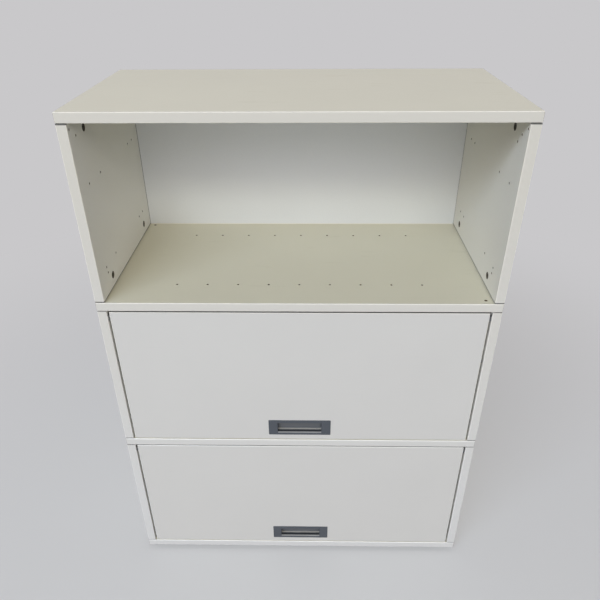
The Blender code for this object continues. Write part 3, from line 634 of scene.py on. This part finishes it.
def grip_rings(node, sizes):
    """The grip's skin: rounded rectangles carried from the tub's back round the flange and into the recess.

    Each loop has a depth behind the flap's face, a half width, a high and a low edge and a corner radius.
    These five numbers run along one path with rounded corners. The low edge alone slopes up to the lip's
    crest, drops behind it and rises on the ledge, which gives the hooked finger groove.
    """
    low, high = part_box(node)
    width, height = (high.x - low.x) / 2, (high.z - low.z) / 2
    wall, corner, small = sizes.grip_wall, sizes.grip_corner, sizes.recess_corner
    tub_back = sizes.recess_depth + wall
    face = low.y - high.y + tub_back
    seat = -0.0003
    mouth = sizes.recess_width / 2
    top = sizes.recess_height / 2 - sizes.recess_drop
    bottom = -sizes.recess_height / 2 - sizes.recess_drop
    groove = bottom - sizes.hook_drop
    ledge_front = sizes.recess_depth - sizes.ledge
    ledge_top = bottom + sizes.ledge_rise
    slope_foot = bottom - sizes.lip_slope
    tub, tub_top, tub_low = mouth + wall, top + wall, groove - wall
    margin, draft = 0.003, 0.0002
    rounding = sizes.lip_rounding
    # depth, half width, high edge, low edge, corner radius, and how far the corner is cut back
    path = (
        (tub_back, tub - margin, tub_top - margin, tub_low + margin, small, 0),
        (tub_back, tub, tub_top, tub_low, small, 0.0012),
        (seat, tub, tub_top, tub_low, small, 0.0002),
        (seat, width, height, -height, corner, 0.0002),
        (face, width, height, -height, corner, 0.0008),
        (face, width - margin, height - margin, -height + margin, small, 0.0005),
        (face, mouth + margin, top + margin, slope_foot - margin, small, 0.0005),
        (face, mouth, top, slope_foot, small, rounding),
        (sizes.hook_lip, mouth - draft, top - draft, bottom, small, rounding),
        (sizes.hook_lip + draft, mouth - draft, top - draft, groove, small, 0.0008),
        (ledge_front - draft, mouth - 2 * draft, top - 2 * draft, groove, small, 0.0008),
        (ledge_front, mouth - 2 * draft, top - 2 * draft, ledge_top - draft, small, 0.0008),
        (sizes.recess_depth, mouth - 4 * draft, top - 4 * draft, ledge_top, small, 0.0009),
        (sizes.recess_depth, mouth - margin, top - margin, ledge_top + margin, small, 0),
    )
    rows = np.array(path)
    depth, half_width, upper, lower, radius = eased(rows[:, :5], rows[1:-1, 5]).T
    x, z = rounded_loops(half_width, upper, lower, radius)
    y = np.broadcast_to(depth[:, None], x.shape)
    # Painted highlight on the up-facing ledge and lip, and a little on the back.
    # Painted shade in the groove and under the top of the mouth
    at_foot = z < (lower + 0.6 * radius)[:, None]
    from_back = sizes.recess_depth - depth
    on_ledge = smoothstep(ledge_front - 0.0003, ledge_front + 0.0002, depth)
    on_ledge = on_ledge * smoothstep(0.0004, 0.0012, from_back)
    behind_lip = smoothstep(sizes.hook_lip, sizes.hook_lip + draft, depth)
    on_lip = smoothstep(face, face + 0.0004, depth) * (1 - behind_lip)
    worn = at_foot * np.maximum(on_ledge, 0.4 * on_lip)[:, None]
    worn[-1] = 0.15
    in_groove = smoothstep(0.0002, 0.001, bottom - lower) * (depth > sizes.hook_lip + draft / 2)
    at_head = z > (upper - 0.6 * radius)[:, None]
    under_edge = smoothstep(0.001, 0.004, depth)
    recess = np.maximum(at_foot * in_groove[:, None], at_head * 0.6 * under_edge[:, None])
    inside = (np.arange(len(depth)) >= np.argmin(depth))[:, None]
    middle = np.array((low.x + high.x, 2 * (low.y - face), low.z + high.z)) / 2
    return np.stack((x, y, z), -1) + middle, worn * inside, recess * inside


def cam_rings(node, turn, sizes):
    """A cam connector: a turned body whose face is a height field over radius and angle.

    The face falls by a dish inside the rim, by the crossed slot, and by a small triangle that points to
    the bolt.
    """
    low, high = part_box(node)
    radius = (high.z - low.z) / 2
    inward = -1 if low.x > 0 else 1
    mouth = low.x if inward < 0 else high.x
    body_length = high.x - low.x
    slot_wall, pointer_wall = 0.0005, 0.0003
    dish_depth = pointer_depth = 0.0003
    pointer_base, pointer_end, pointer_tip, blur = 0.0047, 0.0060, 0.0062, 0.0001
    angle = np.linspace(0, 2 * np.pi, 72, endpoint=False)
    rim = radius * np.array((0.89, 0.93, 0.96))
    across = np.concatenate((np.linspace(0.0002, 0.86 * radius, 30), rim))
    r = across[:, None]
    u = r * np.cos(angle - turn)
    v = r * np.sin(angle - turn)
    cross = crossed_slot(u, v, sizes.cam_slot, sizes.cam_slot_span, slot_wall)
    pointer = smoothstep(pointer_wall, 0.0, np.abs(u) - (pointer_tip - v) * 0.5)
    pointer = pointer * smoothstep(pointer_base - blur, pointer_base + blur, v)
    pointer = pointer * (1 - smoothstep(pointer_end - blur, pointer_end + blur, v))
    dish = dish_depth * (1 - smoothstep(0.80 * radius, 0.88 * radius, r))
    fall = dish + sizes.cam_slot_depth * cross + pointer_depth * pointer
    skirt_r = np.array((0.985, 1.0, 1.0, 1.0, 0.97)) * radius
    skirt_fall = np.array((0.0001, 0.0004, 0.004, body_length - 0.0004, body_length))
    rings_r = np.concatenate((across, skirt_r))[:, None] * np.ones_like(angle)
    rings_fall = np.vstack((fall, skirt_fall[:, None] * np.ones_like(angle)))
    x = mouth - inward * rings_fall
    y = (low.y + high.y) / 2 + rings_r * np.cos(angle)
    z = (low.z + high.z) / 2 + rings_r * np.sin(angle)
    # Painted shade: the slot and, a little less, the pointer are dark
    recess = np.zeros_like(x)
    recess[:len(across)] = np.clip(cross + 0.7 * pointer, 0, 1)
    return np.stack((x, y, z), -1), recess


def screw_rings(place, inward, sizes):
    """A countersunk screw head: a flat dome over radius and angle, with a crossed recess.

    Height = proud - crown (r / radius)^2, less the recess.
    """
    radius = sizes.screw_head / 2
    proud, crown, recess_depth = 0.00012, 0.00004, 0.0001
    recess_width, recess_span, recess_wall = 0.0009, 0.0036, 0.0003
    angle = np.linspace(0, 2 * np.pi, 48, endpoint=False)
    across = np.linspace(0.0001, 0.95 * radius, 18)
    r = across[:, None]
    cross = crossed_slot(r * np.cos(angle), r * np.sin(angle), recess_width, recess_span, recess_wall)
    dome = proud - crown * (r / radius) ** 2 - recess_depth * cross
    rim_r = np.array((1.0, 1.0, 0.5)) * radius
    rim = np.array((0.00004, -0.0003, -0.0011))
    rings_r = np.concatenate((across, rim_r))[:, None] * np.ones_like(angle)
    height = np.vstack((dome, rim[:, None] * np.ones_like(angle)))
    x = place[0] + inward * height
    y = place[1] + rings_r * np.cos(angle)
    z = place[2] + rings_r * np.sin(angle)
    # Painted shade: the crossed recess is dark
    recess = np.zeros_like(x)
    recess[:len(across)] = cross
    return np.stack((x, y, z), -1), recess


def glide_rings(node, sizes):
    """A levelling glide: a turned foot with a ribbed rim, a collar with six flats and a threaded stem.

    The radius is the profile's, less a cosine of the ribs' depth round the rim. In the collar it is the
    flat's distance over the cosine of the angle to the nearest flat. On the stem it has a sine for a thread.
    """
    low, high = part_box(node)
    rim = (high.x - low.x) / 2
    rib_depth, collar_top = 0.0005, 0.0097
    stem_radius, thread_depth, thread_pitch = 0.0036, 0.0003, 0.00125
    angle = np.linspace(0, 2 * np.pi, 120, endpoint=False)
    ribbed = rib_depth / 2 * (1 + np.cos(sizes.glide_ribs * angle))
    to_flat = np.mod(angle, np.pi / 3) - np.pi / 6
    hexagon = sizes.glide_spanner / 2 / np.cos(to_flat)
    # Radius and height of the profile's corners, and how far each is cut back
    profile = eased(
        (
            (0.002, 0.0006), (0.011, 0.0006), (0.012, 0.0), (rim - 0.0012, 0.0), (rim, 0.0012),
            (rim, 0.0038), (rim - 0.001, 0.0046), (0.0105, 0.0060), (0.0078, 0.0062), (0.0078, 0.0096),
            (0.0070, collar_top),
        ),
        (0.0005, 0.0005, 0.0006, 0.0006, 0.0006, 0.0006, 0.0006, 0.0003, 0.0004),
        4,
    )
    stem_z = np.linspace(collar_top, high.z - 0.0008, 46)
    radius = np.concatenate((profile[:, 0], np.full(len(stem_z), stem_radius), (0.003, 0.002)))
    height = np.concatenate((profile[:, 1], stem_z, (high.z - 0.0001, high.z)))
    on_rim = (smoothstep(0.0006, 0.0014, height) * (1 - smoothstep(0.0038, 0.0046, height)))[:, None]
    in_collar = ((radius < 0.0082) & (radius > 0.0065) & (height > 0.0058))[:, None]
    on_stem = ((height > 0.0099) & (height < high.z - 0.001))[:, None]
    grid = radius[:, None] * np.ones_like(angle) - on_rim * ribbed
    grid = np.where(in_collar, np.minimum(grid, hexagon), grid)
    grid = grid + on_stem * thread_depth * np.sin(2 * np.pi * height[:, None] / thread_pitch - angle)
    centre = (low + high) / 2
    x = centre.x + grid * np.cos(angle)
    y = centre.y + grid * np.sin(angle)
    z = np.broadcast_to(height[:, None], x.shape)
    return np.stack((x, y, z), -1)


class CABINET_OT_boards(bpy.types.Operator):
    """Finish the boards, side panels, backs and flaps in pearl melamine"""

    bl_idname = "cabinet.boards"
    bl_label = "Finish boards"

    def execute(self, context):
        scene = context.scene
        colours = scene.cabinet_colours
        sizes = scene.cabinet_sizes
        line = sizes.joint_line
        fade = line / 4
        front, head, foot = (1, -1, 0.0), (2, 1, 0.0), (2, -1, 0.0)
        left, right = (0, -1, 0.0), (0, 1, 0.0)
        # Painted shade in the seams where each back meets the side panels, wider at the left seam
        seat_shades = (
            (0, sizes.back_seat + 0.5 * line, fade, (front, left)),
            (0, sizes.back_seat + 0.3 * line, fade, (front, right)),
        )
        for name in BOARDS:
            # The shelves' darker colour is painted shade for the inside of the compartments
            face = colours.shelf if "shelf" in name else colours.melamine
            dress([name], melamine(name, face, colours, sizes))
        for level in LEVELS:
            dress([f"{level}_back"], melamine(f"{level}_back", colours.back, colours, sizes, seat_shades))
            # Painted shade of the open joint: a thin dark strip at top and bottom of every panel, wider in
            # front at the foot of every panel and under the top board, and along the foot of the open
            # compartment's walls
            for side in SIDES:
                panel = f"{level}_side_{side}"
                low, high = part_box(panel)
                edge = (1, -1, (high.y - low.y) / 2 - sizes.edging)
                end_shades = [(2, line / 2, fade, ()), (2, 1.8 * line, fade, (foot, edge))]
                if level not in FLAP_LEVELS:
                    wall = (0, -1 if side == "right" else 1, (high.x - low.x) / 2 - sizes.edging)
                    end_shades.append((2, 1.5 * line, fade, (head, edge)))
                    end_shades.append((2, 1.5 * line, fade, (foot, wall)))
                dress([panel], melamine(panel, colours.panel, colours, sizes, end_shades))
        # Painted shade of the gap above each flap: a dark strip along its top edge, narrower on the bottom
        # flap
        for level, at_head in (("middle", line / 4), ("bottom", line / 8)):
            head_shade = ((2, at_head, fade, (head,)),)
            dress([f"{level}_flap"], melamine(f"{level}_flap", colours.flap, colours, sizes, head_shade))
        return {"FINISHED"}


class CABINET_OT_grips(bpy.types.Operator):
    """Mould the two flush grips with their hooked finger recess"""

    bl_idname = "cabinet.grips"
    bl_label = "Mould grips"

    def execute(self, context):
        material = grip_abs(context.scene.cabinet_colours)
        for level in FLAP_LEVELS:
            node = f"{level}_grip"
            rings, worn, recess = grip_rings(node, context.scene.cabinet_sizes)
            loft(
                f"{level}_moulded_grip", rings, material, f"{level}_flap", "grip_plastic", [node],
                worn=worn, recess=recess,
            )
        return {"FINISHED"}


class CABINET_OT_cams(bpy.types.Operator):
    """Cast the cam connectors with their crossed slots"""

    bl_idname = "cabinet.cams"
    bl_label = "Cast cams"

    def execute(self, context):
        material = cast_zinc(context.scene.cabinet_colours)
        cams = sorted(name for name in NODES if "_cam_" in name)
        turns = np.random.default_rng(7).uniform(-0.5, 0.5, len(cams))
        for name, turn in zip(cams, turns):
            rings, recess = cam_rings(name, turn, context.scene.cabinet_sizes)
            piece = name.replace("_cam_", "_cast_cam_")
            loft(piece, rings, material, "carcass", "cast_zinc", [name], recess=recess)
        return {"FINISHED"}


class CABINET_OT_runners(bpy.types.Operator):
    """Finish the rails, carriages, pins, studs and cross bars, and drive the rails' screws"""

    bl_idname = "cabinet.runners"
    bl_label = "Finish runners"

    def execute(self, context):
        colours = context.scene.cabinet_colours
        steel = plated_steel(colours)
        acetal = moulded_plastic("moulded_acetal_grey", colours.acetal, 1.3, 0.0006, 1.48)
        rails = [f"{level}_rail_{side}" for level in FLAP_LEVELS for side in SIDES]
        dress(rails, anodised_aluminium(colours))
        dress([f"{level}_{part}_{side}" for level in FLAP_LEVELS for side in SIDES
               for part in ("carriage", "support_stud")], acetal)
        dress([f"{level}_pivot_pin_{side}" for level in FLAP_LEVELS for side in SIDES], steel)
        dress([f"{level}_cross_bar" for level in FLAP_LEVELS], steel)
        # Four screws along the web of each rail
        web, below_top, front_inset, rear_inset = 0.0015, 0.009, 0.045, 0.03
        for rail in rails:
            low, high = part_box(rail)
            inward = -1 if low.x > 0 else 1
            face = high.x - web if inward < 0 else low.x + web
            z = high.z - below_top
            for number, y in enumerate(np.linspace(low.y + front_inset, high.y - rear_inset, 4)):
                rings, recess = screw_rings((face, y, z), inward, context.scene.cabinet_sizes)
                loft(f"{rail}_screw_{number}", rings, steel, "carcass", "plated_steel", [], recess=recess)
        return {"FINISHED"}


class CABINET_OT_glides(bpy.types.Operator):
    """Mould the levelling glides and finish their sockets"""

    bl_idname = "cabinet.glides"
    bl_label = "Mould glides"

    def execute(self, context):
        colours = context.scene.cabinet_colours
        polyamide = moulded_plastic("moulded_polyamide_black", colours.polyamide, 2.6, 0.0008, 1.53)
        corners = [f"{row}_{side}" for row in ("front", "rear") for side in SIDES]
        for corner in corners:
            node = f"glide_{corner}"
            rings = glide_rings(node, context.scene.cabinet_sizes)
            loft(f"moulded_{node}", rings, polyamide, f"{corner}_glide", "black_polyamide", [node])
        dress([f"glide_socket_{corner}" for corner in corners], plated_steel(colours))
        return {"FINISHED"}


class CABINET_OT_stage(bpy.types.Operator):
    """Set the floor, the light and the camera"""

    bl_idname = "cabinet.stage"
    bl_label = "Set stage"

    def execute(self, context):
        scene = context.scene
        stage = scene.cabinet_stage
        scene.view_settings.view_transform = "Standard"

        # Floor: a disc on a grid of radius and angle
        rings, sectors, inner, outer = 24, 96, 0.3, 9.0
        angle = np.linspace(0, 2 * np.pi, sectors, endpoint=False)
        radius = np.geomspace(inner, outer, rings)[:, None]
        level = np.zeros((rings, sectors))
        points = np.stack((radius * np.cos(angle), radius * np.sin(angle), level), -1).reshape(-1, 3)
        index = np.arange(rings * sectors).reshape(rings, sectors)
        after = np.roll(index, -1, axis=1)
        quads = np.stack((index[:-1], index[1:], after[1:], after[:-1]), -1).reshape(-1, 4)
        mesh = bpy.data.meshes.new("floor")
        mesh.from_pydata(points.tolist(), [], quads.tolist() + [index[0].tolist()])
        mesh.materials.append(studio_floor(stage))
        floor = bpy.data.objects.new("floor", mesh)
        scene.collection.objects.link(floor)
        # The low band stands in for what the floor would send up
        floor.visible_diffuse = False

        world = bpy.data.worlds.new("studio")
        world.use_nodes = True
        tree = world.node_tree
        tree.nodes.clear()
        heading = add(tree, "ShaderNodeTexCoord").outputs["Generated"]
        toward = add(tree, "ShaderNodeSeparateXYZ", {0: heading}).outputs
        # The even light is a ring between 12 and 44 degrees up and a low band under it, as from pale walls
        ring = ((0.2, 0.4, stage.low_sky), (0.4, 0.55, stage.high_sky), (0.55, 0.7, DARK))
        band = ((-0.35, -0.2, stage.band_tint), (0.1, 0.25, DARK))
        high = even_light(tree, toward, ring, stage.ring_powers)
        low = even_light(tree, toward, band, stage.band_powers)
        room = add(tree, "ShaderNodeAddShader", {0: high, 1: low})
        backdrop = add(tree, "ShaderNodeBackground", {"Color": tone(stage.backdrop, 1.0), "Strength": 1.0})
        mixed = add(tree, "ShaderNodeMixShader", {0: in_view(tree), 1: room, 2: backdrop})
        add(tree, "ShaderNodeOutputWorld", {"Surface": mixed})
        scene.world = world

        # Soft lights: power, tint, width, height, and the direction from the cabinet's middle
        middle = Vector((0, 0, 0.75))
        lights = {
            "left": (stage.left_power, stage.left_tint, 5.6, 1.6, (-0.410, -0.656, 0.634)),
            "front": (stage.front_power, stage.front_tint, 5.0, 1.2, (0.0, -0.819, 0.574)),
        }
        for name, (power, tint, width, height, way) in lights.items():
            lamp = bpy.data.lights.new(name, "AREA")
            lamp.shape = "RECTANGLE"
            lamp.energy = power
            lamp.color = tint
            lamp.size = width
            lamp.size_y = height
            light = bpy.data.objects.new(name, lamp)
            light.location = middle + LIGHT_DISTANCE * Vector(way)
            light.rotation_euler = Vector(way).to_track_quat("Z", "Y").to_euler()
            scene.collection.objects.link(light)

        view = bpy.data.cameras.new("camera")
        view.lens = stage.lens
        view.sensor_width = 36
        camera = bpy.data.objects.new("camera", view)
        place = Matrix.Translation(stage.camera_place)
        camera.matrix_world = place @ Euler(stage.camera_turn, "XYZ").to_matrix().to_4x4()
        scene.collection.objects.link(camera)
        scene.camera = camera
        return {"FINISHED"}


class CABINET_PT_looks(bpy.types.Panel):
    """Lists the steps that finish the cabinet"""

    bl_idname = "CABINET_PT_looks"
    bl_label = "Cabinet"
    bl_space_type = "VIEW_3D"
    bl_region_type = "UI"
    bl_category = "Cabinet"

    def draw(self, context):
        for step in STEPS:
            self.layout.operator(step.bl_idname)
        for key in GROUPS:
            group = getattr(context.scene, key)
            box = self.layout.box()
            for name in group.__annotations__:
                box.prop(group, name)


STEPS = (
    CABINET_OT_boards,
    CABINET_OT_grips,
    CABINET_OT_cams,
    CABINET_OT_runners,
    CABINET_OT_glides,
    CABINET_OT_stage,
)
GROUPS = {
    "cabinet_colours": CabinetColours,
    "cabinet_sizes": CabinetSizes,
    "cabinet_stage": CabinetStage,
}


def register():
    """Registers the classes and puts the property groups on the scene."""
    for item in (*GROUPS.values(), *STEPS, CABINET_PT_looks):
        bpy.utils.register_class(item)
    for key, group in GROUPS.items():
        setattr(bpy.types.Scene, key, PointerProperty(type=group))


def unregister():
    """Takes back what register did."""
    for key in GROUPS:
        delattr(bpy.types.Scene, key)
    for item in reversed((*GROUPS.values(), *STEPS, CABINET_PT_looks)):
        bpy.utils.unregister_class(item)


def main():
    """Runs every step in order."""
    register()
    bpy.ops.cabinet.boards()
    bpy.ops.cabinet.grips()
    bpy.ops.cabinet.cams()
    bpy.ops.cabinet.runners()
    bpy.ops.cabinet.glides()
    bpy.ops.cabinet.stage()


if __name__ == "__main__":
    main()
